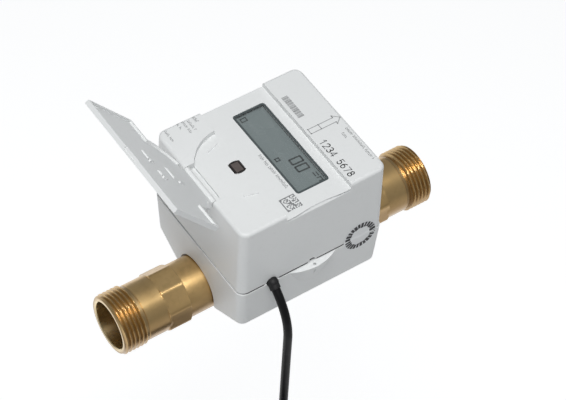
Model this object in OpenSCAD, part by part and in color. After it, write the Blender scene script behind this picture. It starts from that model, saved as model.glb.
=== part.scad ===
// Ultrasonic water meter: brass flow tube, two-part plastic case with a
// hinged display lid, transducers, electronics, batteries and a signal cable.
// Origin: on the flow axis, half way along the tube. +X is the flow, +Z up.

/* [Flow tube] */
// Distance between the two sealing faces
lay_length = 190; // [180:1:260]
// Outside diameter of the pipe thread
thread_d = 33.25; // [33:0.05:41.9]
// Length of each thread
thread_len = 13; // [10:0.5:16]
// Chamfer at the thread's first turn
thread_chamfer = 1.2; // [0.5:0.1:2]
// Length of the run-out groove behind the thread
relief_len = 2; // [1:0.5:3]
// Diameter of the run-out groove
relief_d = 30.2; // [29.6:0.1:30.6]
// Diameter of the smooth neck
neck_d = 31; // [30.6:0.1:33]
// Length from the sealing face to the wrench flats
neck_end = 27; // [24:0.5:32]
// Length of the wrench flats
wrench_len = 13; // [8:0.5:16]
// Width across the wrench flats
wrench_flats = 30.6; // [30.3:0.1:30.9]
// Diameter of the plain barrel under the case
barrel_d = 30; // [29:0.1:30.2]
// Diameter of the wide bore at each end
port_d = 26.4; // [24:0.1:27]
// Length of the wide bore at each end
port_len = 30; // [20:1:36]
// Length of the cone down to the measuring bore
cone_len = 6; // [4:0.5:10]
// Diameter of the measuring bore
bore_d = 20; // [16:0.5:21]

/* [Transducers] */
// Half the distance between the two transducers
transducer_x = 22; // [20:0.5:22.5]
// Diameter of a transducer's body
transducer_d = 12.6; // [10:0.1:13]
// Diameter of a transducer's flange
flange_d = 15.6; // [15:0.1:16.5]
// Thickness of a transducer's flange
flange_t = 2; // [1:0.1:3]
// Diameter of a transducer's terminal stub
stub_d = 10; // [6:0.5:12]
// Height of the terminal stub above the flange
stub_h = 4.5; // [3:0.5:8]
// Half the length of the machined saddle pad
pad_x = 34; // [33.5:0.1:34.8]
// Half the width of the saddle pad
pad_y = 9.6; // [9:0.1:11]
// Height of the saddle pad above the flow axis
pad_z = 20; // [19.5:0.1:21]
// Thickness of a transducer seal
seal_t = 1.5; // [1:0.1:2]
// Thickness of the clamp plate
clamp_t = 2.5; // [1.5:0.1:4]

/* [Case] */
// Length of the case at its split, along the flow
case_x = 86.8; // [84:0.2:96]
// Width of the case at its split
case_y = 80.6; // [78:0.2:90]
// Height of the top above the flow axis
case_top = 78; // [76:0.5:84]
// Height of the split above the flow axis
split_z = 32; // [30:0.5:36]
// Shadow gap between the two shells, filled by the gasket
split_gap = 0.8; // [0.5:0.1:1.5]
// Step by which the upper shell stands in from the base
split_step = 0.35; // [0.1:0.05:0.8]
// Radius of the upright corners
corner_r = 4.6; // [3:0.2:8]
// Radius of the edges at the top
top_edge_r = 1.8; // [0.8:0.1:2.4]
// Draft of the upper shell on each side, from split to top
upper_draft = 0.5; // [0:0.1:1]
// Draft of the base on each side, from split to its lower edge
base_draft = 1.2; // [0:0.1:2]
// Height of the base's lower side edge above the flow axis
skirt_z = 5; // [3:0.5:9]
// Height of the base's inner edge beside the tube
keel_z = -3.5; // [-6:0.5:-1]
// Wall thickness of the two shells
wall = 2.6; // [2:0.1:3]
// Radial gap between the tube and the arch of the base
arch_gap = 0.8; // [0.3:0.1:1.2]

/* [Top face] */
// Depth of the lid's recess below the top
recess_depth = 3; // [2.4:0.1:3.5]
// Edge of the recess next to the rear panel
recess_rear = 21; // [19:0.5:23]
// Edge of the recess next to the two corner pads
recess_front = -17; // [-19:0.5:-15]
// Radius of the round end of the recess
eye_r = 25.3; // [24:0.1:27]
// Centre of the round end along the flow
eye_x = -15; // [-16:0.5:-13]
// Length of the hinge slot behind the front face
tongue_len = 6; // [5:0.25:7]
// Thickness of the top wall under the recess
top_wall = 2.5; // [2:0.1:3]
// Centre of the display window along the flow
display_x = 6.1; // [5:0.1:7]
// Centre of the display window across the flow
display_y = 0.8; // [-1:0.1:2]
// Width of the display opening
display_w = 17.2; // [14:0.2:18]
// Length of the display opening
display_l = 57; // [50:0.5:60]
// Width of the rebate that seats the display window
display_rebate = 1; // [0.6:0.1:1.4]
// Thickness of the display window
window_t = 1.2; // [0.8:0.1:1.4]
// Centre of the optical window along the flow
optic_x = -19; // [-21:0.5:-17]
// Centre of the optical window across the flow
optic_y = 1.5; // [-2:0.5:4]
// Width of the optical window along the flow
optic_w = 6.6; // [5:0.1:8]
// Length of the optical window across the flow
optic_l = 8.3; // [6:0.1:10]
// Radius of the ring on which the two guide ribs lie
guide_r = 17.5; // [15:0.5:19]
// Length of a guide rib
guide_len = 7.5; // [5:0.5:10]
// Height of a guide rib above the recess floor
guide_h = 0.5; // [0.3:0.1:0.7]

/* [Lid] */
// Opening angle of the lid as it stands
lid_open = 128.8; // [90:0.1:140]
// Distance of the hinge axis behind the front face
hinge_inset = 1.25; // [1.1:0.05:2]
// Depth of the hinge axis below the top
hinge_depth = 1.9; // [1.8:0.1:2.1]
// Radius of the lid's knuckle
knuckle_r = 1.6; // [1.4:0.1:1.8]
// Diameter of the hinge pin
pin_d = 1.5; // [1.2:0.1:1.6]
// Half the width of the hinge slot
hinge_half = 12.9; // [11:0.1:13]
// Depth of each pin end in its corner pad
pin_seat = 4; // [2:0.5:8]
// Thickness of the lid's plate
lid_t = 1.5; // [1.2:0.1:1.6]
// Thickness of the lid's lips
lip_t = 1.4; // [1:0.1:2]
// Gap between the lid and the edges of its recess
lid_gap = 0.4; // [0.3:0.05:0.8]
// Gap between the lid's lips and the recess floor
lip_gap = 0.4; // [0.3:0.05:0.6]
// Width of the finger notch in the lid's free edge
notch_w = 11; // [8:0.5:16]
// Width of the finger scoop in the case's near top edge
scoop_w = 34; // [26:1:36]
// Depth of the finger scoop at its middle
scoop_depth = 1.2; // [0.8:0.1:2]

/* [Seal tab] */
// Length of the seal tab along the split
tab_len = 28; // [22:1:34]
// How far the tab stands out of the base
tab_out = 3.7; // [3:0.1:5]
// Height at which the tab's bulge fades into the wall
tab_fade_z = 15; // [12:1:18]
// Diameter of the hole for the seal wire
tab_hole_d = 1.6; // [1:0.1:2]

/* [Electronics] */
// Height of the circuit board's upper face
board_z = 67; // [66.5:0.1:67.5]
// Thickness of the circuit board
board_t = 1.6; // [1:0.1:2]
// Half the length of the circuit board along the flow
board_x = 31.5; // [30:0.5:32]
// Half the width of the circuit board
board_y = 33; // [32:0.5:34]
// Thickness of the display glass
lcd_t = 2; // [1.2:0.1:2.2]
// Diameter of a battery cell
cell_d = 14.5; // [12:0.1:15]
// Length of a battery cell
cell_l = 50.4; // [44:0.2:51]
// Gap between a battery cell and the side wall
cell_gap = 1.75; // [1.5:0.05:2]
// Height of a battery cell's axis above the flow axis
cell_z = 18; // [17.5:0.1:19]

/* [Cable] */
// Diameter of the signal cable
cable_d = 4.6; // [4:0.1:5]
// Place of the cable's exit along the flow
cable_x = -24.4; // [-25:0.1:-24]
// Diameter of the cable grommet
grommet_d = 6.2; // [5.8:0.1:7]
// Downward tilt of the grommet's nose
nose_tilt = 38; // [36:1:40]
// Mean diameter of the tied cable coil
coil_d = 55; // [53:0.5:57]
// Height of the coil's centre
coil_z = -86; // [-88:0.5:-85]

/* [Fasteners] */
// Diameter of the case screws
case_screw_d = 3; // [2.5:0.1:3.2]
// Diameter of the clamp screws
clamp_screw_d = 3; // [2.5:0.1:3.2]
// Diameter of the board screws
board_screw_d = 2.5; // [2:0.1:2.6]
// Radial gap round every screw
screw_gap = 0.1; // [0.05:0.05:0.2]

/* [Hidden] */

$fn = 64;
hull_fn = 32;
over = 1;

// Height of the base's sloping inner floor at a distance from the flow axis
function floor_at(y) =
    skirt_z + 1.2 * wall - (skirt_z - keel_z) * (inner_hy - y) / (inner_hy - arch_r);

// Case: half sizes at the split, the lower edge and the top
base_hx = case_x / 2;
base_hy = case_y / 2;
upper_hx = base_hx - split_step;
upper_hy = base_hy - split_step;
upper_z = split_z + split_gap;
floor_z = case_top - recess_depth;
ceiling_z = floor_z - top_wall;
rear_ceiling_z = case_top - top_wall;
inner_hx = base_hx - base_draft - wall;
inner_hy = base_hy - base_draft - wall;
front_x = -(upper_hx - upper_draft);
tongue_x = front_x + tongue_len;
skirt_edge_r = 1.8;
keel_r = 1;

// Tube and arch: the neck runs a little under the wrench flats and tapers there
tube_r = barrel_d / 2;
neck_run = 0.5;
neck_taper = 3;
arch_r = tube_r + arch_gap;
arch_outer_r = arch_r + wall;
pad_gap = 0.4;
rim_w = 4;
rim_x = pad_x + pad_gap + rim_w;
rim_y = pad_y + pad_gap + rim_w;
seat_depth = seal_t + flange_t - 0.5;
seat_z = pad_z - seat_depth;
flange_z = seat_z + seal_t;
clamp_z = flange_z + flange_t;
saddle_gasket_t = 1;
rim_z = clamp_z - saddle_gasket_t;
seat_gap = 0.2;
clamp_screw_y = pad_y - clamp_screw_d;
clamp_screw_xs = [-pad_x + clamp_screw_d, 0, pad_x - clamp_screw_d];
clamp_screw_len = 9;

// Screw posts in the case corners
post_r = case_screw_d / 2 + 2.2;
post_x = upper_hx - wall - post_r + 1.2;
post_y = upper_hy - wall - post_r + 1.2;
screw_seat_z = 12;
case_screw_grip = 14;
head_h = 2.4;

// Board, display and posts
board_under = board_z - board_t;
lcd_rim = 1.6;
lcd_w = display_w + 2 * lcd_rim;
lcd_l = display_l + 2 * lcd_rim;
lcd_gap = 0.3;
lcd_z = ceiling_z - lcd_gap - lcd_t;
window_top_gap = 0.2;
window_gap = 0.15;
board_post_x = 27;
board_post_y = 20;
board_post_r = 3;
board_screw_grip = 3;
board_head_h = 1.6;
cell_y = inner_hy - cell_d / 2 - cell_gap;
cradle_half = 5;
cradle_inset = 4;

// Hinge
hinge_x = front_x + hinge_inset;
hinge_z = case_top - hinge_depth;
heel_drop = hinge_inset * sin(lid_open) - hinge_depth * cos(lid_open);
stop_gap = 0.1;
slot_floor_z = hinge_z - max(heel_drop, knuckle_r) - stop_gap;
pin_gap = 0.06;
pin_seat_gap = 0.02;
knuckle_end_gap = 0.35;
pin_half = hinge_half + pin_seat;

// Cable: exit, grommet and route
exit_z = split_z + split_gap / 2;
wall_out_y = -base_hy;
collar_t = 1.2;
grommet_gap = 0.05;
nose_len = 3.4;
nose_r = cable_d / 2 + 0.5;
nose_out = 0.7;
nose_base_y = wall_out_y - nose_out;
nose_y = nose_base_y - nose_len * cos(nose_tilt);
nose_z = exit_z - nose_len * sin(nose_tilt);
hang_y = -56.4;
cable_sides = 12;
// Coil: three turns deep, four abreast, entered on its inner turn from behind
coil_deep = 3 * cable_d / 2;
coil_wide = 4 * cable_d / 2;
coil_x = cable_x - coil_d / 2 + cable_d;
coil_y = hang_y - coil_wide + cable_d / 2;
tail_x = coil_x + coil_d / 2 + cable_d;
tail_y = hang_y - 2 * cable_d;
tail_len = 33;
tail_gap = 0.2;
tail_top_z = coil_z - sqrt(pow(coil_d / 2 + coil_deep, 2) - pow(coil_d / 2 + cable_d / 2, 2)) - tail_gap;
// Route of the free cable in the plane of its exit: Y and Z of each point
cable_route = [
    [-46.7, 27.6], [-49.4, 24.6], [-52.0, 20.8], [-54.0, 16.7], [-55.4, 12.3],
    [-56.1, 8.3], [-56.4, 4.3], [-56.4, -8.0], [-56.4, -20.0], [-56.4, -32.0],
    [-56.4, -44.0], [-56.4, -56.0], [-56.4, -67.0]];

case_grey = [0.86, 0.87, 0.88];
brass = [0.72, 0.55, 0.28];
black_rubber = [0.08, 0.08, 0.09];
steel = [0.72, 0.73, 0.75];

// Rounded rectangle with corner radius r, centred
module rounded_rect(hx, hy, r) {
    square([2 * hx, 2 * (hy - r)], center = true);
    square([2 * (hx - r), 2 * hy], center = true);
    for (sx = [-1, 1], sy = [-1, 1])
        translate([sx * (hx - r), sy * (hy - r)])
            circle(r);
}

// Puts its children at the four mirrored places (+-x, +-y)
module four(x, y) {
    for (sx = [-1, 1], sy = [-1, 1])
        translate([sx * x, sy * y, 0])
            children();
}

// Round bar along X through the given height and side
module bar_x(r, length) {
    rotate([0, 90, 0])
        cylinder(r = r, h = length, center = true);
}

// Round bar along Y
module bar_y(r, length) {
    rotate([90, 0, 0])
        cylinder(r = r, h = length, center = true);
}

// Upright corner with a rounded rim at height z, as one corner of a shell
module rimmed_corner(r, edge, z, up) {
    translate([0, 0, z - up * edge])
        rotate_extrude($fn = hull_fn)
            union() {
                square([r - edge, edge]);
                translate([r - edge, 0])
                    circle(edge, $fn = hull_fn);
                translate([0, -edge])
                    square([r - edge, 2 * edge]);
            }
}

// Outline of the turned tube from its middle to one end: distance and radius
function tube_half() = [
    [0, tube_r],
    [lay_length / 2 - neck_end - neck_taper - neck_run, tube_r],
    [lay_length / 2 - neck_end - neck_run, neck_d / 2],
    [lay_length / 2 - thread_len - relief_len, neck_d / 2],
    [lay_length / 2 - thread_len - relief_len, relief_d / 2],
    [lay_length / 2 - thread_len, relief_d / 2],
    [lay_length / 2 - thread_len, thread_d / 2],
    [lay_length / 2 - thread_chamfer, thread_d / 2],
    [lay_length / 2, thread_d / 2 - thread_chamfer]];

// Outline of the water way from its middle to past one end
function way_half() = [
    [0, bore_d / 2],
    [lay_length / 2 - port_len - cone_len, bore_d / 2],
    [lay_length / 2 - port_len, port_d / 2],
    [lay_length / 2 + over, port_d / 2]];

// Body of revolution about the flow axis from half an outline
module turned(half) {
    last = len(half) - 1;
    points = concat(
        [for (p = half) [p[1], p[0]]],
        [[0, half[last][0]], [0, -half[last][0]]],
        [for (i = [last:-1:1]) [half[i][1], -half[i][0]]]);
    rotate([0, 90, 0])
        rotate_extrude($fn = 128)
            polygon(points);
}

module flow_tube() {
    color(brass)
        difference() {
            union() {
                turned(tube_half());
                for (s = [-1, 1])
                    translate([s * (lay_length / 2 - neck_end - wrench_len / 2), 0, 0])
                        rotate([0, 90, 0])
                            rotate([0, 0, 22.5])
                                cylinder(
                                    d = wrench_flats / cos(22.5), h = wrench_len,
                                    center = true, $fn = 8);
                linear_extrude(pad_z)
                    rounded_rect(pad_x, pad_y, 3);
            }
            turned(way_half());
            for (s = [-1, 1])
                translate([s * transducer_x, 0, 0]) {
                    cylinder(d = transducer_d + 2 * seat_gap, h = pad_z + over);
                    translate([0, 0, seat_z])
                        cylinder(d = flange_d + 2 * seat_gap, h = pad_z);
                }
            for (x = clamp_screw_xs, s = [-1, 1])
                translate([x, s * clamp_screw_y, pad_z - clamp_screw_len])
                    cylinder(r = clamp_screw_d / 2 + screw_gap, h = pad_z);
        }
}

// Outside of the base: rounded box whose underside slopes in to the tube
module base_outside() {
    low_hx = base_hx - base_draft;
    low_hy = base_hy - base_draft;
    hull() {
        four(base_hx - corner_r, base_hy - corner_r)
            translate([0, 0, split_z - 1])
                cylinder(r = corner_r, h = 1, $fn = hull_fn);
        four(low_hx - corner_r, low_hy - corner_r)
            rimmed_corner(corner_r, skirt_edge_r, skirt_z, -1);
        for (s = [-1, 1])
            translate([0, s * (arch_r + keel_r), keel_z + keel_r])
                bar_x(keel_r, 2 * low_hx, $fn = hull_fn);
    }
}

// Inner floor of the base: the same slope, one wall higher
module base_inside() {
    intersection() {
        translate([0, 0, keel_z])
            linear_extrude(split_z - keel_z + over)
                rounded_rect(inner_hx, inner_hy, corner_r - 1);
        rotate([90, 0, 90])
            linear_extrude(2 * base_hx, center = true)
                polygon([
                    [-inner_hy, floor_at(inner_hy)],
                    [-arch_r, floor_at(arch_r)],
                    [arch_r, floor_at(arch_r)],
                    [inner_hy, floor_at(inner_hy)],
                    [inner_hy, split_z + over],
                    [-inner_hy, split_z + over]]);
    }
}

// Saddle channel for the tube, open below, with the given radius
module saddle(r, length) {
    bar_x(r, length);
    translate([-length / 2, -r, -2 * r])
        cube([length, 2 * r, 2 * r]);
}

// Lens-shaped tab at the split that fades downwards into the wall
module seal_tab() {
    tab_r = (pow(tab_len / 2, 2) + pow(tab_out, 2)) / (2 * tab_out);
    intersection() {
        translate([0, -base_hy + tab_r - tab_out, tab_fade_z])
            cylinder(
                r1 = tab_r - tab_out - base_draft, r2 = tab_r,
                h = split_z - tab_fade_z, $fn = 128);
        translate([-tab_len / 2 - wall, -base_hy - tab_out - over, tab_fade_z])
            cube([tab_len + 2 * wall, tab_out + wall, split_z - tab_fade_z]);
    }
}

module base_shell() {
    color(case_grey)
        difference() {
            union() {
                difference() {
                    base_outside();
                    difference() {
                        base_inside();
                        saddle(arch_outer_r, case_x);
                        translate([-rim_x, -rim_y, 0])
                            cube([2 * rim_x, 2 * rim_y, rim_z]);
                        four(post_x, post_y)
                            translate([0, 0, keel_z])
                                cylinder(r = post_r, h = split_z - keel_z);
                    }
                }
                seal_tab();
            }
            saddle(arch_r, case_x + 2 * over);
            translate([-rim_x + rim_w, -rim_y + rim_w, 0])
                cube([2 * (rim_x - rim_w), 2 * (rim_y - rim_w), rim_z + over]);
            translate([-rim_x, -rim_y, rim_z])
                cube([2 * rim_x, 2 * rim_y, split_z]);
            four(post_x, post_y) {
                translate([0, 0, keel_z])
                    cylinder(r = case_screw_d / 2 + screw_gap, h = split_z - keel_z + over);
                translate([0, 0, keel_z - over])
                    cylinder(r = case_screw_d + 0.2, h = screw_seat_z - keel_z + over);
            }
            translate([0, -base_hy - tab_out / 2, tab_fade_z - over])
                cylinder(d = tab_hole_d, h = split_z);
            translate([cable_x, -base_hy, exit_z])
                bar_y(grommet_d / 2, 4 * wall);
        }
}

// Outside of the upper shell, drawn in towards a rounded top
module upper_outside() {
    hull() {
        four(upper_hx - corner_r, upper_hy - corner_r)
            translate([0, 0, upper_z])
                cylinder(r = corner_r, h = 1, $fn = hull_fn);
        four(upper_hx - upper_draft - corner_r, upper_hy - upper_draft - corner_r)
            rimmed_corner(corner_r, top_edge_r, case_top, 1);
    }
}

// Plan of the lid's recess, grown by a gap (negative shrinks it)
module recess_plan(grow) {
    translate([recess_front - grow, -case_y])
        square([recess_rear - recess_front + 2 * grow, 2 * case_y]);
    intersection() {
        translate([eye_x, 0])
            circle(eye_r + grow, $fn = 128);
        translate([tongue_x, -case_y])
            square([recess_front - grow - tongue_x, 2 * case_y]);
    }
}

// Optical window: straight sides along the flow, arced ends
module optic_plan(grow) {
    end_r = optic_w;
    intersection() {
        square([optic_w + 2 * grow, optic_l + 2 * grow], center = true);
        translate([0, optic_l / 2 - end_r])
            circle(end_r + grow);
        translate([0, end_r - optic_l / 2])
            circle(end_r + grow);
    }
}

// Two short ribs beside the optical window, on one ring
module guide_ribs() {
    for (s = [-1, 1])
        translate([optic_x - guide_len / 2, s * guide_r + optic_y / 2, floor_z])
            rotate([0, 0, s * 17])
                translate([-guide_len / 2, -0.45, -guide_h])
                    cube([guide_len, 0.9, 2 * guide_h]);
}

module upper_shell() {
    scoop_r = (pow(scoop_w / 2, 2) + pow(scoop_depth, 2)) / (2 * scoop_depth);
    color(case_grey)
        difference() {
            union() {
                difference() {
                    upper_outside();
                    translate([0, 0, upper_z - over])
                        linear_extrude(ceiling_z - upper_z + over)
                            rounded_rect(inner_hx, inner_hy, corner_r - 1);
                    translate([recess_rear + top_wall, -inner_hy, upper_z])
                        cube([inner_hx - recess_rear - top_wall, 2 * inner_hy, rear_ceiling_z - upper_z]);
                    translate([0, 0, floor_z])
                        linear_extrude(recess_depth + over)
                            recess_plan(0);
                }
                guide_ribs();
                four(post_x, post_y)
                    translate([0, 0, upper_z])
                        cylinder(r = post_r, h = ceiling_z - upper_z);
                for (sx = [-1, 1], sy = [-1, 1])
                    translate([sx * board_post_x, sy * board_post_y, board_z])
                        cylinder(
                            r = board_post_r,
                            h = (sx > 0 ? rear_ceiling_z : ceiling_z) - board_z + over / 2);
            }
            translate([-case_x, -hinge_half, slot_floor_z])
                cube([case_x + tongue_x, 2 * hinge_half, recess_depth + case_top]);
            translate([hinge_x, 0, hinge_z])
                bar_y(pin_d / 2 + pin_seat_gap, 2 * (pin_half + pin_seat_gap));
            translate([display_x, display_y, ceiling_z - over]) {
                linear_extrude(top_wall + 2 * over)
                    rounded_rect(display_w / 2, display_l / 2, 1.2);
                translate([0, 0, top_wall + over - window_t - window_top_gap])
                    linear_extrude(recess_depth)
                        rounded_rect(display_w / 2 + display_rebate, display_l / 2 + display_rebate, 1.6);
            }
            translate([optic_x, optic_y, ceiling_z - over])
                linear_extrude(top_wall + 2 * over)
                    optic_plan(0);
            translate([(recess_front + recess_rear) / 2, -upper_hy + upper_draft, floor_z])
                rotate([45, 0, 0])
                    translate([0, scoop_depth / 2 - scoop_r, -scoop_depth])
                        cylinder(r = scoop_r, h = 4 * scoop_depth, $fn = 128);
            four(post_x, post_y)
                translate([0, 0, upper_z - over])
                    cylinder(r = case_screw_d / 2 + screw_gap, h = case_screw_grip + 2);
            four(board_post_x, board_post_y)
                translate([0, 0, board_z - over])
                    cylinder(r = board_screw_d / 2 + screw_gap, h = ceiling_z - board_z);
            translate([cable_x, -base_hy, exit_z])
                bar_y(grommet_d / 2, 4 * wall);
            translate([0, -upper_hy, upper_z])
                cylinder(d = 2 * tab_hole_d, h = 2 * tab_hole_d, center = true);
        }
}

module case_gasket() {
    inset = 1;
    color(black_rubber)
        translate([0, 0, split_z])
            difference() {
                linear_extrude(split_gap)
                    difference() {
                        rounded_rect(upper_hx - inset, upper_hy - inset, corner_r - inset);
                        rounded_rect(upper_hx - wall, upper_hy - wall, corner_r - inset);
                    }
                translate([cable_x, -base_hy, split_gap / 2])
                    bar_y(grommet_d / 2, 4 * wall);
            }
}

module saddle_gasket() {
    color(black_rubber)
        translate([0, 0, rim_z])
            linear_extrude(saddle_gasket_t)
                difference() {
                    square([2 * rim_x, 2 * rim_y], center = true);
                    square([2 * (rim_x - rim_w), 2 * (rim_y - rim_w)], center = true);
                }
}

module clamp_plate() {
    color(steel)
        translate([0, 0, clamp_z])
            linear_extrude(clamp_t)
                difference() {
                    rounded_rect(rim_x, rim_y, 2);
                    for (s = [-1, 1])
                        translate([s * transducer_x, 0])
                            circle(d = stub_d + 4 * seat_gap);
                    for (x = clamp_screw_xs, s = [-1, 1])
                        translate([x, s * clamp_screw_y])
                            circle(clamp_screw_d / 2 + screw_gap);
                }
}

// Pan-head screw along Z with its head above z = 0 and its shank below
module pan_screw(d, length, head) {
    translate([0, 0, -length])
        cylinder(d = d, h = length + head / 2);
    difference() {
        cylinder(d = 1.8 * d, h = head);
        translate([0, 0, head / 2])
            cylinder(d = d, h = head, $fn = 6);
    }
}

module clamp_screws() {
    color(steel)
        for (x = clamp_screw_xs, s = [-1, 1])
            translate([x, s * clamp_screw_y, clamp_z + clamp_t])
                pan_screw(clamp_screw_d, clamp_t + clamp_screw_len - over, head_h);
}

// Transducer: body in its bore, flange on the seal, terminal stub above
module transducer(x) {
    color([0.25, 0.26, 0.28])
        translate([x, 0, 0]) {
            translate([0, 0, bore_d / 2])
                cylinder(d = transducer_d, h = flange_z - bore_d / 2 + flange_t / 2);
            translate([0, 0, flange_z])
                cylinder(d = flange_d, h = flange_t);
            translate([0, 0, flange_z + flange_t / 2])
                cylinder(d = stub_d, h = flange_t / 2 + stub_h);
        }
}

module transducer_inlet() {
    transducer(-transducer_x);
}

module transducer_outlet() {
    transducer(transducer_x);
}

module transducer_seals() {
    color(black_rubber)
        for (s = [-1, 1])
            translate([s * transducer_x, 0, seat_z])
                linear_extrude(seal_t)
                    difference() {
                        circle(d = flange_d);
                        circle(d = transducer_d + 2 * seat_gap);
                    }
}

module transducer_leads() {
    lead_r = 0.9;
    color([0.75, 0.1, 0.1])
        for (s = [-1, 1])
            translate([s * transducer_x, 0, clamp_z + stub_h])
                cylinder(r = lead_r, h = board_under - clamp_z - stub_h);
}

module circuit_board() {
    color([0.05, 0.35, 0.2])
        translate([0, 0, board_under])
            linear_extrude(board_t)
                difference() {
                    rounded_rect(board_x, board_y, 2);
                    four(board_post_x, board_post_y)
                        circle(board_screw_d / 2 + screw_gap);
                }
}

module board_chips() {
    chip_h = board_t * 3 / 4;
    large = board_x / 3;
    small = board_x / 4;
    color([0.12, 0.12, 0.13])
        translate([0, 0, board_under - chip_h])
            linear_extrude(chip_h) {
                translate([-small, -large - board_t])
                    square(large, center = true);
                translate([large, large])
                    square(small, center = true);
            }
}

module board_screws() {
    color(steel)
        four(board_post_x, board_post_y)
            translate([0, 0, board_under])
                mirror([0, 0, 1])
                    pan_screw(board_screw_d, board_t + board_screw_grip, board_head_h);
}

module optical_pair() {
    dome_r = 1.5;
    dome_gap = 2;
    color([0.2, 0.16, 0.2])
        for (s = [-1, 1])
            translate([optic_x, optic_y + s * dome_gap, board_z]) {
                cylinder(r = dome_r, h = 2.5);
                translate([0, 0, 2.5])
                    sphere(dome_r);
            }
}

module optical_window() {
    color([0.16, 0.1, 0.08])
        translate([optic_x, optic_y, ceiling_z])
            linear_extrude(top_wall + 0.1)
                optic_plan(-window_gap);
}

module display_window() {
    half_w = display_w / 2 + display_rebate - window_gap;
    half_l = display_l / 2 + display_rebate - window_gap;
    color([0.8, 0.85, 0.85, 0.4])
        translate([display_x, display_y, floor_z - window_top_gap - window_t])
            linear_extrude(window_t)
                rounded_rect(half_w, half_l, 1.5);
}

// Display glass, with its front filter standing in the case's opening under the window
module lcd_panel() {
    filter_top = floor_z - window_top_gap - window_t - window_gap;
    color([0.48, 0.52, 0.5])
        translate([display_x, display_y, 0]) {
            translate([0, 0, lcd_z])
                linear_extrude(lcd_t)
                    square([lcd_w, lcd_l], center = true);
            translate([0, 0, lcd_z + lcd_t / 2])
                linear_extrude(filter_top - lcd_z - lcd_t / 2)
                    rounded_rect(display_w / 2 - window_gap, display_l / 2 - window_gap, 1);
        }
}

module lcd_holder() {
    bezel = 1.4;
    color([0.9, 0.9, 0.9])
        translate([display_x, display_y, board_z])
            linear_extrude(lcd_z - board_z)
                difference() {
                    square([lcd_w, lcd_l], center = true);
                    square([lcd_w - 2 * bezel, lcd_l - 2 * bezel], center = true);
                }
}

// Battery cell along the flow with its raised positive cap
module battery_cell(side) {
    cap_r = 2.5;
    cap_h = 1;
    color([0.2, 0.45, 0.3])
        translate([0, side * cell_y, cell_z]) {
            bar_x(cell_d / 2, cell_l);
            translate([cell_l / 2, 0, 0])
                bar_x(cap_r, 2 * cap_h);
        }
}

module battery_cell_near() {
    battery_cell(-1);
}

module battery_cell_far() {
    battery_cell(1);
}

// Cradle between the sloping floor of the base and a battery cell
module battery_cradle(side) {
    in_y = cell_y - cradle_half;
    out_y = cell_y + cradle_half;
    trough_gap = 0.1;
    color([0.3, 0.32, 0.34])
        difference() {
            rotate([90, 0, 90])
                linear_extrude(cell_l - 2 * cradle_inset, center = true)
                    polygon([
                        [side * in_y, floor_at(in_y)],
                        [side * out_y, floor_at(out_y)],
                        [side * out_y, cell_z - cradle_half / 2],
                        [side * in_y, cell_z - cradle_half / 2]]);
            translate([0, side * cell_y, cell_z])
                bar_x(cell_d / 2 + trough_gap, cell_l);
        }
}

module battery_cradle_near() {
    battery_cradle(-1);
}

module battery_cradle_far() {
    battery_cradle(1);
}

module battery_leads() {
    lead_r = 0.7;
    color([0.7, 0.7, 0.72])
        for (side = [-1, 1])
            translate([-cell_l / 2 - lead_r, side * cell_y, cell_z]) {
                bar_x(3 * lead_r, 2 * lead_r);
                cylinder(r = lead_r, h = board_under - cell_z);
            }
}

module case_screws() {
    color(steel)
        four(post_x, post_y)
            translate([0, 0, screw_seat_z])
                mirror([0, 0, 1])
                    pan_screw(case_screw_d, upper_z - screw_seat_z + case_screw_grip, head_h);
}

module hinge_pin() {
    color(steel)
        translate([hinge_x, 0, hinge_z])
            bar_y(pin_d / 2, 2 * pin_half);
}

// Plan of the lid when closed
module lid_plan(inset) {
    side = upper_hy - upper_draft - inset;
    intersection() {
        recess_plan(-lid_gap - inset);
        translate([-case_x, -side])
            square([2 * case_x, 2 * side]);
    }
}

// Hinge tongue of the lid, between its knuckle and its plate
module tongue_plan() {
    half = hinge_half - knuckle_end_gap;
    translate([front_x, -half])
        square([tongue_x - front_x + lid_gap + lip_t, 2 * half]);
}

// Small moulded hook on the lid's inner face, with its pocket
module lid_hook(pocket) {
    hook_w = 3.4;
    hook_t = 1.2;
    plate_under = case_top - lid_t;
    if (pocket)
        translate([-hook_w / 2, hook_t / 2, plate_under - over])
            cube([hook_w, hook_t, over + lid_t / 2]);
    else
        translate([-hook_w / 2, -hook_t / 2, plate_under - recess_depth / 3])
            cube([hook_w, hook_t, recess_depth / 3 + lid_t / 2]);
}

lid_hook_places = [[0, 3], [0, -9], [-17, -6.5]];

module lid_closed() {
    half = hinge_half - knuckle_end_gap;
    lip_z = floor_z + lip_gap;
    difference() {
        union() {
            translate([0, 0, case_top - lid_t])
                linear_extrude(lid_t) {
                    lid_plan(0);
                    tongue_plan();
                }
            translate([0, 0, lip_z])
                linear_extrude(case_top - lip_z - lid_t / 2)
                    difference() {
                        lid_plan(0);
                        lid_plan(lip_t);
                        translate([tongue_x - over, -hinge_half - over])
                            square([lip_t + 2 * over, 2 * (hinge_half + over)]);
                    }
            translate([hinge_x, 0, hinge_z])
                bar_y(knuckle_r, 2 * half);
            for (place = lid_hook_places)
                translate([place[0], place[1], 0])
                    lid_hook(false);
        }
        translate([hinge_x, 0, hinge_z])
            bar_y(pin_d / 2 + pin_gap, 4 * half);
        for (place = lid_hook_places)
            translate([place[0], place[1], 0])
                lid_hook(true);
        translate([recess_rear - lid_gap - lip_t / 2, -notch_w / 2, floor_z])
            cube([lip_t, notch_w, recess_depth - lid_t / 2]);
    }
}

module lid() {
    color(case_grey)
        translate([hinge_x, 0, hinge_z])
            rotate([0, -lid_open, 0])
                translate([-hinge_x, 0, -hinge_z])
                    lid_closed();
}

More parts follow.
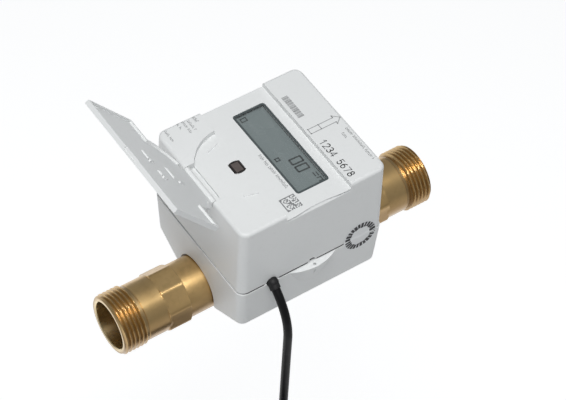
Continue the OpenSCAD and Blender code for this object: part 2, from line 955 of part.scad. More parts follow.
// Rubber grommet in the split, with a nose tilted along the cable
module cable_grommet() {
    collar_r = grommet_d / 2 + 1;
    inner_y = -inner_hy;
    color(black_rubber)
        translate([cable_x, 0, exit_z]) {
            translate([0, (inner_y + nose_base_y) / 2, 0])
                bar_y(grommet_d / 2 - grommet_gap, inner_y - nose_base_y);
            translate([0, inner_y + collar_t / 2, 0])
                bar_y(collar_r, collar_t);
            translate([0, nose_base_y, 0]) {
                sphere(grommet_d / 2 - grommet_gap);
                rotate([90 + nose_tilt, 0, 0])
                    cylinder(r = nose_r, h = nose_len);
            }
        }
}

// Inner end of the cable, from the grommet to the circuit board
module inner_lead() {
    start_y = -inner_hy + collar_t;
    turn_y = start_y + cable_d;
    lead_r = cable_d / 2 - 0.3;
    color(black_rubber)
        translate([cable_x, 0, exit_z]) {
            translate([0, (start_y + turn_y) / 2, 0])
                bar_y(lead_r, turn_y - start_y);
            translate([0, turn_y, 0]) {
                sphere(lead_r);
                cylinder(r = lead_r, h = board_under - exit_z);
            }
        }
}

// Tube swept in the plane of the exit through a start point and the route
module swept_cable(path) {
    last = len(path) - 1;
    heading = [for (i = [0:last])
        i == 0 ? [-cos(nose_tilt), -sin(nose_tilt)]
        : i == last ? path[last] - path[last - 1]
        : path[i + 1] - path[i - 1]];
    rings = [for (i = [0:last])
        let (t = heading[i] / norm(heading[i]))
        for (k = [0:cable_sides - 1])
            let (a = 360 * k / cable_sides, out = cable_d / 2 * cos(a))
            [cable_x + cable_d / 2 * sin(a), path[i][0] - out * t[1], path[i][1] + out * t[0]]];
    sides = [for (i = [0:last - 1], k = [0:cable_sides - 1])
        let (n = (k + 1) % cable_sides, a = i * cable_sides)
        [a + k, a + n, a + cable_sides + n, a + cable_sides + k]];
    first_cap = [for (k = [cable_sides - 1:-1:0]) k];
    last_cap = [for (k = [0:cable_sides - 1]) last * cable_sides + k];
    polyhedron(rings, concat([first_cap], sides, [last_cap]), convexity = 4);
}

module signal_cable() {
    color(black_rubber)
        swept_cable(concat([[nose_y, nose_z]], cable_route, [[hang_y, coil_z + coil_deep]]));
}

// Outer shape of the tied coil, hanging in the plane of the cable's exit
module cable_coil() {
    color(black_rubber)
        translate([coil_x, coil_y, coil_z])
            rotate([90, 0, 0])
                rotate_extrude($fn = 96)
                    translate([coil_d / 2, 0])
                        rounded_rect(coil_deep, coil_wide, cable_d / 2);
}

module cable_tie() {
    tie_t = 1;
    tie_w = 4;
    tie_gap = 0.2;
    deep = coil_deep + tie_gap;
    wide = coil_wide + tie_gap;
    color([0.1, 0.1, 0.11])
        translate([coil_x, coil_y, coil_z - coil_d / 2])
            rotate([0, 90, 0])
                linear_extrude(tie_w, center = true)
                    difference() {
                        rounded_rect(deep + tie_t, wide + tie_t, cable_d / 2 + tie_t);
                        rounded_rect(deep, wide, cable_d / 2);
                    }
}

// Last stretch of the cable, hanging from the outermost turn of the coil
module cable_tail() {
    color(black_rubber)
        translate([tail_x, tail_y, tail_top_z - tail_len])
            cylinder(d = cable_d, h = tail_len);
}

// Bare end of the cable: stripped wires below its jacket
module wire_ends() {
    wire_r = 0.6;
    wire_len = 9;
    color([0.7, 0.5, 0.3])
        for (s = [-1, 1])
            translate([tail_x + s * 1.6 * wire_r, tail_y, tail_top_z - tail_len - wire_len])
                cylinder(r = wire_r, h = wire_len);
}

flow_tube();
base_shell();
upper_shell();
case_gasket();
saddle_gasket();
clamp_plate();
clamp_screws();
transducer_inlet();
transducer_outlet();
transducer_seals();
transducer_leads();
circuit_board();
board_chips();
board_screws();
optical_pair();
optical_window();
display_window();
lcd_panel();
lcd_holder();
battery_cell_near();
battery_cell_far();
battery_cradle_near();
battery_cradle_far();
battery_leads();
case_screws();
hinge_pin();
lid();
cable_grommet();
inner_lead();
signal_cable();
cable_coil();
cable_tie();
cable_tail();
wire_ends();
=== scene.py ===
# %% [markdown]
# # An ultrasonic water meter
# The meter is a threaded brass tube with a grey moulded case clamped over it. A flip-up lid
# uncovers the display, and a black signal cable leaves the near side. The solids arrive as a
# fixed frame in metres, and this lesson dresses them: new surfaces where the solids are plain,
# and a procedural finish for every piece.

# %% Load the solids
import math

import bmesh
import bpy
import numpy as np
from mathutils import Matrix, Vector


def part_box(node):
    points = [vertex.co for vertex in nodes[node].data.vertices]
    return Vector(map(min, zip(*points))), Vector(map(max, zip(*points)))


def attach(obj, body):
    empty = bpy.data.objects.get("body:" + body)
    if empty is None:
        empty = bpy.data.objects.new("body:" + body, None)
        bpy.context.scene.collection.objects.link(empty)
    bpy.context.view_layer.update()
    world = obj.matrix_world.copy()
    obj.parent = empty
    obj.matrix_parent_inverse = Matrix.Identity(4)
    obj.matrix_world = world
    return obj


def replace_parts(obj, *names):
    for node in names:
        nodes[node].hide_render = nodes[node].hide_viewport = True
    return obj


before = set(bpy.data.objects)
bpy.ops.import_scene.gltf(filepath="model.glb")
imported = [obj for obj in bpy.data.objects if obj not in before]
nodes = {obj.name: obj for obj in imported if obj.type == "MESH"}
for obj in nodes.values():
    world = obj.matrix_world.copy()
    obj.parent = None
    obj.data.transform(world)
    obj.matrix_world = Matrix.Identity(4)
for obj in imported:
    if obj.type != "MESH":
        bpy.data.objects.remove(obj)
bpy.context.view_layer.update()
MM = 0.001

# %% [markdown]
# ## The camera
# The camera looks down on the display from the inlet side, as a fitter would. Its angles come
# from lines on the object that run along the three axes, so the view needs no lens shift: a
# matrix with the picture's right, the picture's up and the way back to the lens as its columns.

# %% Camera
azimuth, elevation, roll = np.radians([-36.65, 50.79, 3.57])
aim = np.array([8.69, -0.70, 33.61])
lens_distance = 1168.17
focal_pixels, picture_width, sensor_width = 2294.71, 566, 36.0

back = np.array([math.sin(azimuth) * math.cos(elevation),
                 -math.cos(azimuth) * math.cos(elevation), math.sin(elevation)])
level = np.array([math.cos(azimuth), math.sin(azimuth), 0.0])
upright = np.cross(back, level)
picture_right = math.cos(roll) * level + math.sin(roll) * upright
picture_up = math.cos(roll) * upright - math.sin(roll) * level

camera_data = bpy.data.cameras.new("photo_camera")
camera_data.sensor_fit = "HORIZONTAL"
camera_data.sensor_width = sensor_width
camera_data.lens = sensor_width * focal_pixels / picture_width
camera = bpy.data.objects.new("photo_camera", camera_data)
bpy.context.scene.collection.objects.link(camera)
placing = np.eye(4)
placing[:3, :3] = np.stack([picture_right, picture_up, back], axis=1)
placing[:3, 3] = (aim + back * lens_distance) * MM
camera.matrix_world = Matrix(placing.tolist())
bpy.context.scene.camera = camera
print("lens", round(camera_data.lens, 1), "mm, eye", placing[:3, 3].round(3))

# %% [markdown]
# ## Shader maths as plain expressions
# A finish is a node tree, and most of its nodes are arithmetic. A small class wraps a socket, so
# that `1 - mask` or `0.3 + 0.2 * grain` adds the Math nodes by itself. Everything else comes from
# one method, `make`, which takes a node's type, its settings and what its sockets get.


# %% Field and Finish
class Field:
    """The value of one socket: arithmetic on it adds Math nodes to its tree."""

    def __init__(self, finish, socket):
        self.finish, self.socket = finish, socket

    def math(self, operation, first, second):
        return self.finish.make("ShaderNodeMath", {"operation": operation}, {0: first, 1: second})

    def __add__(self, other):
        return self.math("ADD", self, other)

    def __sub__(self, other):
        return self.math("SUBTRACT", self, other)

    def __rsub__(self, other):
        return self.math("SUBTRACT", other, self)

    def __mul__(self, other):
        return self.math("MULTIPLY", self, other)

    def above(self, limit):
        return self.math("GREATER_THAN", self, limit)

    def size(self):
        return self.math("ABSOLUTE", self, 0.0)

    def larger(self, other):
        return self.math("MAXIMUM", self, other)

    __radd__ = __add__
    __rmul__ = __mul__


class Finish:
    """One material: a Principled shader, with constants set straight on its sockets."""

    def __init__(self, name, **constants):
        self.material = bpy.data.materials.new(name)
        self.material.use_nodes = True
        self.tree = self.material.node_tree
        self.shader = next(n for n in self.tree.nodes if n.type == "BSDF_PRINCIPLED")
        for socket, value in constants.items():
            self.put(self.shader.inputs[socket.replace("_", " ")], value)
        self.place = self.make("ShaderNodeTexCoord", {}, {}, "Object")
        print("finish", name)

    def put(self, socket, value):
        """Link a field to a socket, or set the socket's own number or colour."""
        if isinstance(value, Field):
            self.tree.links.new(value.socket, socket)
        elif socket.type == "RGBA":
            socket.default_value = (*value, 1.0)[:4]
        else:
            socket.default_value = value

    def make(self, kind, settings, sockets, out=0):
        """Add any node: its settings first, then the values or links of its sockets."""
        node = self.tree.nodes.new(kind)
        stops = settings.get("stops", ())
        for name in settings.keys() - {"stops"}:
            setattr(node, name, settings[name])
        for index, (at, shade) in enumerate(stops):
            node.color_ramp.elements[index].position = at
            node.color_ramp.elements[index].color = (shade, shade, shade, 1.0)
        for name, value in sockets.items():
            self.put(node.inputs[name], value)
        return Field(self, node.outputs[out])

    def feed(self, **links):
        """Give values or fields to the shader's sockets, by name."""
        for socket, value in links.items():
            self.put(self.shader.inputs[socket.replace("_", " ")], value)
        return self

    def stretched(self, x, y, z):
        """Object coordinates, with each axis scaled: a large number makes fine detail along it."""
        return self.make("ShaderNodeMapping", {}, {"Vector": self.place, "Scale": (x, y, z)})

    def grain(self, scale, detail=2.0, at=None):
        """Soft noise from 0 to 1, with about `scale` lumps in a metre."""
        return self.make("ShaderNodeTexNoise", {}, {
            "Vector": at or self.place, "Scale": scale, "Detail": detail})

    def ramp(self, value, *stops):
        """A value redrawn through two stops of (place, shade)."""
        return self.make("ShaderNodeValToRGB", {"stops": stops}, {"Fac": value})

    def blend(self, mask, first, second):
        """First colour where the mask is 0, second where it is 1."""
        return self.make("ShaderNodeMix", {"data_type": "RGBA"}, {0: mask, 6: first, 7: second}, 2)

    def axis(self, index):
        """One of the object's own coordinates, in metres."""
        return self.make("ShaderNodeSeparateXYZ", {}, {"Vector": self.place}, index)

    def beyond(self, centre, half_sizes):
        """1 outside a rectangle in X and Y, 0 inside; centre and half sizes in millimetres."""
        x, y = [(self.axis(name) - middle * MM).size() - half * MM
                for name, middle, half in zip("XY", centre, half_sizes)]
        return x.larger(y).above(0.0)

    def attribute(self, name):
        """A number that the mesh carries at each of its points."""
        return self.make("ShaderNodeAttribute", {"attribute_name": name}, {}, "Fac")

    def relief(self, height, depth, strength=1.0):
        """A bump from a height field; depth is its full height in millimetres."""
        bump = self.make("ShaderNodeBump", {}, {
            "Height": height, "Distance": depth * MM, "Strength": strength})
        return self.feed(Normal=bump)


print("shader helpers ready")

# %% [markdown]
# ## From arrays to a mesh
# Each new piece is a grid of points, so its faces are the quads between neighbours. Where a
# direction closes on itself, as round a tube, its last line joins the first. The points are in
# millimetres, and become metres as they enter the mesh.


# %% Grid faces and pieces
def grid_faces(rows, columns, close_rows=False, close_columns=False):
    """Quads of a grid of points, numbered row by row."""
    row = np.arange(rows if close_rows else rows - 1)
    column = np.arange(columns if close_columns else columns - 1)
    i, j = np.meshgrid(row, column, indexing="ij")
    down, along = (i + 1) % rows, (j + 1) % columns
    corners = [i * columns + j, i * columns + along, down * columns + along, down * columns + j]
    return np.stack(corners, axis=-1).reshape(-1, 4)


def make_piece(name, points, faces, finish, body="root", crease=35.0):
    """A mesh object from points in millimetres, smooth up to an angle, riding on a body."""
    mesh = bpy.data.meshes.new(name)
    mesh.from_pydata((np.asarray(points) * MM).tolist(), [], [list(f) for f in faces])
    mesh.shade_smooth()
    mesh.set_sharp_from_angle(angle=math.radians(crease))
    mesh.materials.append(finish.material)
    piece = bpy.data.objects.new(name, mesh)
    bpy.context.scene.collection.objects.link(piece)
    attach(piece, body)
    print(f"{name}: {len(mesh.vertices)} points, {len(mesh.polygons)} faces")
    return piece


# %% [markdown]
# ## The signal cable
# The cable is 4.6 mm of black jacket. It leaves a grommet in the case's split, bends down under
# its own weight and hangs; the rest is tied in a coil of eight turns, and two bare wires end it.
# A curve with a bevel would do, but a tube of our own keeps the same points for the length that
# is declared. Radius and side place change by one diameter in a fixed part of each turn, so
# neighbouring turns move together and never cross.

# %% The cable's route
cable_d = 4.6
cable_x, hang_y = -24.4, -56.4
coil_centre_x, coil_centre_z, first_radius = -47.3, -86.0, 22.9
tail_end_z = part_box("cable_tail")[0][2] / MM

drop = np.array([[-43.68, 30.31], [-46.7, 27.6], [-49.4, 24.6], [-52.0, 20.8], [-54.0, 16.7],
                 [-55.4, 12.3], [-56.1, 8.3], [hang_y, 4.3], [hang_y, -8.0], [hang_y, -20.0],
                 [hang_y, -32.0], [hang_y, -44.0], [hang_y, -56.0], [hang_y, -67.0],
                 [hang_y, -77.0]])
drop = np.column_stack([np.full(len(drop), cable_x), drop])

# turn, first and last angle of the move, diameters outwards, diameters along the axis
moves = np.array([[0, 280, 330, 0, -1], [1, 280, 330, 0, -1], [2, 280, 330, 0, -1],
                  [3, 195, 280, 1, 0], [4, 150, 195, 0, 1], [5, 150, 195, 0, 1],
                  [6, 66, 150, 1, 0], [7, 16, 66, 0, -1]])


def smooth_step(value):
    """Half a cosine wave from 0 to 1, level before and after."""
    return (1 - np.cos(np.pi * np.clip(value, 0, 1))) / 2


steps_a_turn, steps_a_span = 60, 4
turn = np.linspace(0, len(moves), steps_a_turn * len(moves) + 1)
degrees = 360 * (turn[:, None] - moves[:, 0])
progress = smooth_step((degrees - moves[:, 1]) / (moves[:, 2] - moves[:, 1]))
radius = first_radius + cable_d * progress @ moves[:, 3]
side = hang_y + cable_d * progress @ moves[:, 4]
angle = -2 * np.pi * turn
coil = np.column_stack([coil_centre_x + radius * np.cos(angle), side,
                        coil_centre_z + radius * np.sin(angle)])
tail_z = np.linspace(coil_centre_z, tail_end_z, 12)[1:]
tail = np.column_stack([np.tile(coil[-1, :2], (len(tail_z), 1)), tail_z])


def smooth_line(points, parts):
    """A curve through all points: each span is a cubic whose end slopes are half the step from
    the point before to the point after."""
    padded = np.vstack([2 * points[0] - points[1], points, 2 * points[-1] - points[-2]])
    slope = (padded[2:] - padded[:-2]) / 2
    t = np.arange(parts)[:, None] / parts
    start, stop = points[:-1, None], points[1:, None]
    span = ((2 * t**3 - 3 * t**2 + 1) * start + (t**3 - 2 * t**2 + t) * slope[:-1, None]
            + (3 * t**2 - 2 * t**3) * stop + (t**3 - t**2) * slope[1:, None])
    return np.vstack([span.reshape(-1, 3), points[-1:]])


cable_path = np.vstack([smooth_line(drop, steps_a_span), coil, tail])

# %% [markdown]
# The jacket is soft plastic. It is nearly black, a little glossy, and drawn lengthwise, so its
# grain runs along the cable: the pattern reads the tube's own map, with one direction round the
# cable and one along it.

# %% The cable's jacket
jacket = Finish("cable_jacket", Roughness=0.45, Specular_IOR_Level=0.2)
jacket_map = jacket.make("ShaderNodeUVMap", {"uv_map": "jacket"}, {})
drawn = jacket.make("ShaderNodeMapping", {}, {"Vector": jacket_map, "Scale": (9.0, 60.0, 1.0)})
streak = jacket.grain(1.0, 3.0, drawn)
scuff = jacket.ramp(jacket.grain(260.0, 3.0), (0.52, 0.0), (0.72, 1.0))
jacket.feed(Base_Color=jacket.blend(scuff * 0.5, (0.004, 0.004, 0.0045), (0.014, 0.014, 0.015)),
            Roughness=0.36 + 0.16 * streak)
jacket.relief(streak, 0.03, 0.5)


# %% The cable as a tube
def tube_along(path, radius, sides):
    """Circles of one radius, each square to the path: the first axis of a circle is square to
    the path and to Y, the second square to both."""
    heading = np.gradient(path, axis=0)
    heading /= np.linalg.norm(heading, axis=1, keepdims=True)
    first = np.cross(heading, [0.0, 1.0, 0.0])
    first /= np.linalg.norm(first, axis=1, keepdims=True)
    second = np.cross(heading, first)
    turn = np.linspace(0, 2 * np.pi, sides, endpoint=False)[None, :, None]
    return path[:, None] + radius * (np.cos(turn) * first[:, None] + np.sin(turn) * second[:, None])


sides = 20
cable_points = tube_along(cable_path, cable_d / 2, sides)
cable_faces = grid_faces(len(cable_path), sides, close_columns=True).tolist()
first_cap = list(range(sides))
last_cap = list(range((len(cable_path) - 1) * sides, len(cable_path) * sides))
cable = make_piece("signal_cable_jacket", cable_points.reshape(-1, 3),
                   cable_faces + [first_cap[::-1], last_cap], jacket, crease=60)
run = np.concatenate([[0], np.cumsum(np.linalg.norm(np.diff(cable_path, axis=0), axis=1))])
corner = np.zeros(len(cable.data.loops), dtype=np.int32)
cable.data.loops.foreach_get("vertex_index", corner)
around = (corner % sides) / sides
around = np.where(around > 0.5, 1 - around, around) * 2
flat_map = np.column_stack([around, run[corner // sides] * MM * 10])
cable.data.uv_layers.new(name="jacket").data.foreach_set("uv", flat_map.astype(np.float32).ravel())
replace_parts(cable, "signal_cable", "cable_coil", "cable_tail")

# %% [markdown]
# ## The brass tube's ends
# The tube is a brass casting. Each end is turned on a lathe: a pipe thread, a groove where the
# thread runs out, and a plain neck. Behind the neck lies an octagon for a wrench, left as cast.
# A screw modifier could wind a thread, but one radius as a function of place and angle gives the
# whole end at once, inside and out, with no joint between the parts. The thread is where the
# radius rises and falls with `x / pitch - angle`, which makes a right-hand screw at both ends.
# The finish is plain metal under a thin clear coat, whose own gloss is white. It is browner in
# the thread's roots and in faint stains. The underside is painted darker, a painted shade that
# stands in for a darker reflection; a dark line at the wrench's step is a painted shadow, and the
# bore is painted paler, a painted reflection.

# %% Brass
brass = Finish("brass", Metallic=1.0, Roughness=0.3, Coat_Weight=0.6, Coat_Roughness=0.24)
# root: tarnish in the thread's roots, and at the wrench's step a painted shadow line
root = brass.attribute("root")
turned = brass.attribute("turned")
bore = brass.attribute("bore")
# painted shade: 1 on the lower half, 0 from 10 mm above the axis
painted_underside_shade = brass.ramp(brass.axis("Z") * 50.0 + 0.5, (0.55, 1.0), (1.0, 0.0))
cloud = brass.grain(90.0, 4.0)
stain = brass.ramp(brass.grain(240.0, 5.0), (0.45, 0.0), (0.75, 1.0))
lathe_lines = brass.grain(1.0, 1.0, brass.stretched(5200.0, 60.0, 60.0))
cast_skin = brass.grain(1500.0, 3.0)
bright = brass.blend(cloud, (0.69, 0.45, 0.18), (0.79, 0.54, 0.24))
# real stains, and painted shade on the lower half that stands in for a darker reflection
stain_and_painted_shade = brass.blend((stain * 0.3).larger(painted_underside_shade * 0.85), bright, (0.36, 0.215, 0.075))
# painted reflection: the bore is painted a paler brass, standing in for light inside the tube
painted_bore_light = brass.blend(bore * 0.8, stain_and_painted_shade, (0.88, 0.72, 0.42))
brass.feed(Base_Color=brass.blend(root * 0.5, painted_bore_light, (0.25, 0.17, 0.085)),
           Roughness=0.17 + 0.06 * stain + 0.08 * root + 0.2 * (1 - turned))
brass.relief(turned * lathe_lines * 1.5 + (1 - turned) * cast_skin, 0.014, 0.6)

# %% One end as a radius over length and angle
tube_half, thread_start, relief_start, neck_start, wrench_start = 95.0, 82.0, 80.0, 68.0, 55.0
seam = 38.0
thread_r, relief_r, neck_r, flat_r, corner_r, barrel_r = 16.625, 15.1, 15.5, 15.3, 16.3, 15.0
thread_pitch, thread_depth, thread_chamfer, thread_flat = 2.309, 1.479, 1.2, 0.1
cone_r, cone_slope = 15.75, 1.6
port_r, port_end, bore_end, bore_r = 13.2, 65.0, 59.0, 10.0
columns, rows_per_pitch = 144, 16
smooth_below = 32.0


def outer_radius(x, angle):
    """Radius of the outside. Thread: a clipped triangle wave of x / pitch - angle, under a cone
    at the end face. Wrench: the distance to the nearest of eight flats with blunt corners,
    between two cones, with the neck's taper coming out of it. Elsewhere: plain cylinders with
    small steps."""
    reach = np.abs(x)
    wave = np.abs(2 * np.mod(x / thread_pitch - angle / (2 * np.pi), 1.0) - 1)
    crest = np.clip((wave - thread_flat) / (1 - 2 * thread_flat), 0, 1)
    thread = thread_r - thread_depth + thread_depth * crest
    thread = np.minimum(thread, thread_r - thread_chamfer + (tube_half - reach))
    to_flat = np.mod(angle + np.pi / 8, np.pi / 4) - np.pi / 8
    octagon = np.minimum(flat_r / np.cos(to_flat), corner_r)
    cone = cone_r + cone_slope * np.minimum(reach - wrench_start, neck_start - reach)
    taper = np.interp(reach, [neck_start - 3.5, neck_start - 0.5], [flat_r - 0.3, neck_r])
    wrench = np.maximum(np.minimum(octagon, cone), taper)
    neck = np.interp(reach, [relief_start - 0.35, relief_start], [neck_r, neck_r - 0.3])
    radius = np.where(reach >= thread_start, thread, relief_r)
    radius = np.where(reach < relief_start, neck, radius)
    radius = np.where(reach < neck_start, wrench, radius)
    return np.where(reach < wrench_start, barrel_r, radius)


def tube_end(name, sign):
    """Rows run along the outside to the end face and back along the bore; columns run round. Two
    rows a hair apart make each sharp step."""
    hair = 0.012
    reach = np.concatenate([
        [seam, 46.0, wrench_start - 0.5, wrench_start - hair],
        wrench_start + np.array([hair, 0.15, 0.3, 0.5, 0.75, 1.1]),
        np.linspace(56.5, 64.4, 8), np.linspace(64.6, 67.4, 10),
        neck_start - np.array([0.3, 0.15, hair]), neck_start + np.array([hair, 0.2]), [74.0],
        relief_start - np.array([0.35, 0.17, hair]), relief_start + np.array([hair, 0.3]),
        [thread_start - hair],
        np.arange(thread_start + hair, tube_half, thread_pitch / rows_per_pitch), [tube_half]])
    angle = np.linspace(0, 2 * np.pi, columns, endpoint=False)
    outside = outer_radius(sign * reach[:, None], angle[None, :])
    in_reach = np.array([tube_half, tube_half - 0.5, 80.0, port_end, bore_end, seam])
    in_radius = np.array([port_r + 0.5, port_r, port_r, port_r, bore_r, bore_r])
    inside = np.repeat(in_radius[:, None], columns, axis=1)
    radius = np.vstack([outside, inside])
    along = np.repeat(np.concatenate([reach, in_reach])[:, None] * sign, columns, axis=1)
    turn = np.repeat(angle[None, :], len(radius), axis=0)
    points = np.stack([along, radius * np.cos(turn), radius * np.sin(turn)], axis=-1)
    faces = grid_faces(len(radius), columns, close_rows=True, close_columns=True)[:, ::sign]
    piece = make_piece(name, points.reshape(-1, 3), faces, brass, crease=smooth_below)
    distance = np.abs(along)
    tarnish_and_step_shade = np.zeros_like(radius)
    threaded = distance[:len(reach)] > relief_start
    tarnish_and_step_shade[:len(reach)] = np.where(threaded, (thread_r - outside) / thread_depth, 0)
    # painted shadow: the two rows at the wrench's step are made fully dark, a shadow line at the step
    tarnish_and_step_shade[np.abs(distance - wrench_start) < 2 * hair] = 1.0
    lathe = np.select([distance > relief_start, distance > neck_start], [0.6, 0.4], 0.1)
    inner = np.zeros_like(radius)
    inner[len(reach):] = 1.0
    for label, value in (("root", np.clip(tarnish_and_step_shade, 0, 1)), ("turned", lathe), ("bore", inner)):
        layer = piece.data.attributes.new(label, "FLOAT", "POINT")
        layer.data.foreach_set("value", value.astype(np.float32).ravel())


tube_end("inlet_end", -1)
tube_end("outlet_end", 1)

# %% [markdown]
# The middle of the casting, with the flat pad that carries the two transducers, is right in the
# solids already. A copy of that mesh is merged and cut off square at both seams, which lie under
# the case, so the new ends meet it there.


# %% The tube's middle
def tube_middle():
    """The tube's own solid between the two seams, with the cuts closed by flat faces."""
    shape = bmesh.new()
    shape.from_mesh(nodes["flow_tube"].data)
    bmesh.ops.remove_doubles(shape, verts=shape.verts, dist=1e-6)
    for sign in (-1, 1):
        whole = shape.verts[:] + shape.edges[:] + shape.faces[:]
        cut = bmesh.ops.bisect_plane(shape, geom=whole, dist=1e-7, clear_outer=True,
                                     plane_co=(sign * seam * MM, 0, 0), plane_no=(sign, 0, 0))
        rim = [part for part in cut["geom_cut"] if isinstance(part, bmesh.types.BMEdge)]
        rings = bmesh.ops.triangle_fill(shape, use_beauty=True, use_dissolve=False, edges=rim)
        print("seam", sign, len(rim), "edges", len(rings["geom"]), "parts")
    mesh = bpy.data.meshes.new("tube_middle")
    shape.to_mesh(mesh)
    shape.free()
    points = np.zeros(3 * len(mesh.vertices), dtype=np.float32)
    mesh.vertices.foreach_get("co", points)
    faces = [list(face.vertices) for face in mesh.polygons]
    return make_piece("tube_middle", points.reshape(-1, 3) / MM, faces, brass,
                      crease=smooth_below)


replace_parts(tube_middle(), "flow_tube")

# %% [markdown]
# ## The moulded case
# Both shells and the lid are light grey moulded plastic with a fine spark texture. Their solids
# have the right shape, so they stay, and only their edges change: real moulded edges are never
# knife sharp. A weld joins the loose triangles, a planar decimate merges the flats, a small bevel
# rounds the edges, and weighted normals keep the large faces flat.

# %% Case plastic
case_plastic = Finish("case_plastic", Roughness=0.45, Specular_IOR_Level=0.4)
spark = case_plastic.grain(5200.0, 2.0)
flow_tone = case_plastic.grain(26.0, 3.0)
dust = case_plastic.ramp(case_plastic.grain(420.0, 5.0), (0.55, 0.0), (0.85, 1.0))
tone = case_plastic.blend(flow_tone, (0.735, 0.750, 0.750), (0.775, 0.785, 0.780))
case_plastic.feed(Base_Color=case_plastic.blend(dust * 0.25, tone, (0.66, 0.665, 0.655)),
                  Roughness=0.40 + 0.14 * spark)
case_plastic.relief(spark, 0.02, 0.5)


def dress(name, finish, edge=None):
    """Give a solid its finish and, where an edge is given, edges rounded by so many millimetres."""
    solid = nodes[name]
    if not solid.material_slots:
        solid.data.materials.append(finish.material)
    for place in solid.material_slots:
        place.material = finish.material
    if edge:
        weld = solid.modifiers.new("weld", "WELD")
        weld.merge_threshold = 1e-5
        flats = solid.modifiers.new("flats", "DECIMATE")
        flats.decimate_type = "DISSOLVE"
        flats.angle_limit = math.radians(0.6)
        rounding = solid.modifiers.new("rounding", "BEVEL")
        rounding.width = edge * MM
        rounding.segments = 2
        rounding.limit_method = "ANGLE"
        rounding.angle_limit = math.radians(40)
        rounding.use_clamp_overlap = True
        shading = solid.modifiers.new("shading", "WEIGHTED_NORMAL")
        shading.keep_sharp = True
    print("dressed", name)


moulded_edge = 0.28
for name in ("base_shell", "upper_shell", "lid"):
    dress(name, case_plastic, moulded_edge)
dress("lcd_holder", case_plastic)

# %% [markdown]
# Between the shells a black rubber lip makes a dark line, which stands for the shadow in the split:
# a painted shadow. It is a half-round profile along the case's outline, a rectangle with rounded
# corners, with a gap at the grommet and one at the hole of the seal tab.

# %% Gasket lip
rubber = Finish("black_rubber", Roughness=0.62, Specular_IOR_Level=0.3)
rubber_lumps = rubber.grain(1800.0, 3.0)
rubber.feed(Base_Color=rubber.blend(rubber_lumps, (0.005, 0.005, 0.0055), (0.014, 0.014, 0.015)),
            Roughness=0.54 + 0.16 * rubber_lumps)
rubber.relief(rubber_lumps, 0.02, 0.5)
case_hx, case_hy, case_corner, grommet_side, hole_side = 43.05, 39.95, 4.6, 4.6, 2.8
split_z, lip_half, lip_inset, end_inset, lip_columns = 32.4, 0.36, 0.85, 0.55, 9

quarter = np.radians(np.linspace(-90, 0, 9))
corner_arc = case_corner * np.column_stack([np.cos(quarter), np.sin(quarter)])
quarter_turn = np.array([[0.0, 1.0], [-1.0, 0.0]])
corner_centre = np.array([case_hx, case_hy]) - case_corner
arcs, normals = [], []
for step, (side_x, side_y) in enumerate(((1, -1), (1, 1), (-1, 1), (-1, -1))):
    swung = corner_arc @ np.linalg.matrix_power(quarter_turn, step)
    arcs.append(swung + corner_centre * [side_x, side_y])
    normals.append(swung / case_corner)
bulge = np.linspace(-np.pi / 2, np.pi / 2, lip_columns)
lip_out, lip_z = -lip_inset + np.cos(bulge), split_z + lip_half * np.sin(bulge)


def lip_strip(line, normal):
    """The half-round profile at every point of a level line, pushed out along its normals, and
    half a millimetre deeper where the wall faces along the tube."""
    out = lip_out[None, :, None] - end_inset * np.abs(normal[:, None, :1])
    plan = line[:, None] + normal[:, None] * out
    height = np.broadcast_to(lip_z[None, :, None], plan.shape[:2] + (1,))
    return np.concatenate([plan, height], axis=-1).reshape(-1, 3)


near = np.array([[0.0, -1.0]])
long_line = np.vstack([[[hole_side, -case_hy]], *arcs, [[cable_x - grommet_side, -case_hy]]])
short_line = np.array([[cable_x + grommet_side, -case_hy], [-hole_side, -case_hy]])
lip = np.vstack([lip_strip(long_line, np.vstack([near, *normals, near])),
                 lip_strip(short_line, np.vstack([near, near]))])
lip_faces = np.vstack([grid_faces(len(long_line), lip_columns),
                       grid_faces(2, lip_columns) + lip_columns * len(long_line)])
# painted shadow: the rubber lip's dark line stands for the shadow in the split
make_piece("split_shadow_lip", lip, lip_faces[:, ::-1], rubber)

# %% [markdown]
# Three low ribs on the lid's inner face lead to its hooks. Each is half an ellipse along Y that
# sinks away at both ends. They are drawn for the closed lid, whose inner face is level, and then
# swung open about the hinge, because the lid stands open in the rest pose.

# %% Ribs of the lid
hinge_x, hinge_z, lid_open, lid_under = -41.3, 76.1, math.radians(128.8), 76.5
rib_half_width, rib_height, rib_sink, rib_rows, rib_columns = 0.9, 0.8, 0.02, 15, 9


def lid_rib(x, first_y, last_y):
    """Rows along Y, columns over half an ellipse; the height fades at both ends."""
    place, arch = np.meshgrid(np.linspace(-1, 1, rib_rows), np.linspace(0, np.pi, rib_columns),
                              indexing="ij")
    fade = np.sqrt(1 - np.abs(place) ** 6)
    along = (first_y + last_y) / 2 + (last_y - first_y) / 2 * place
    right = x + rib_half_width * np.cos(arch) - hinge_x
    up = lid_under + rib_sink - rib_height * np.sin(arch) * fade - hinge_z
    swung_x = hinge_x + right * math.cos(lid_open) - up * math.sin(lid_open)
    swung_z = hinge_z + right * math.sin(lid_open) + up * math.cos(lid_open)
    return np.stack([swung_x, along, swung_z], axis=-1).reshape(-1, 3)


ribs = [lid_rib(0.0, 5.0, 11.5), lid_rib(0.0, -7.0, -3.5), lid_rib(-13.5, -4.5, 4.0)]
rib_faces = np.vstack([grid_faces(rib_rows, rib_columns) + rib_rows * rib_columns * k
                       for k in range(len(ribs))])
make_piece("lid_ribs", np.vstack(ribs), rib_faces, case_plastic,
           body="display_lid", crease=60)

# %% [markdown]
# ## The display
# A liquid crystal glass lies under a clear window. The glass is grey-green, a shade darker where
# its seal runs. The window has a thin dark rim and is almost invisible inside it, so a low alpha
# with a clean gloss shows it best. The optical window beside it is a dark filter with a paler
# middle, over the two diodes.

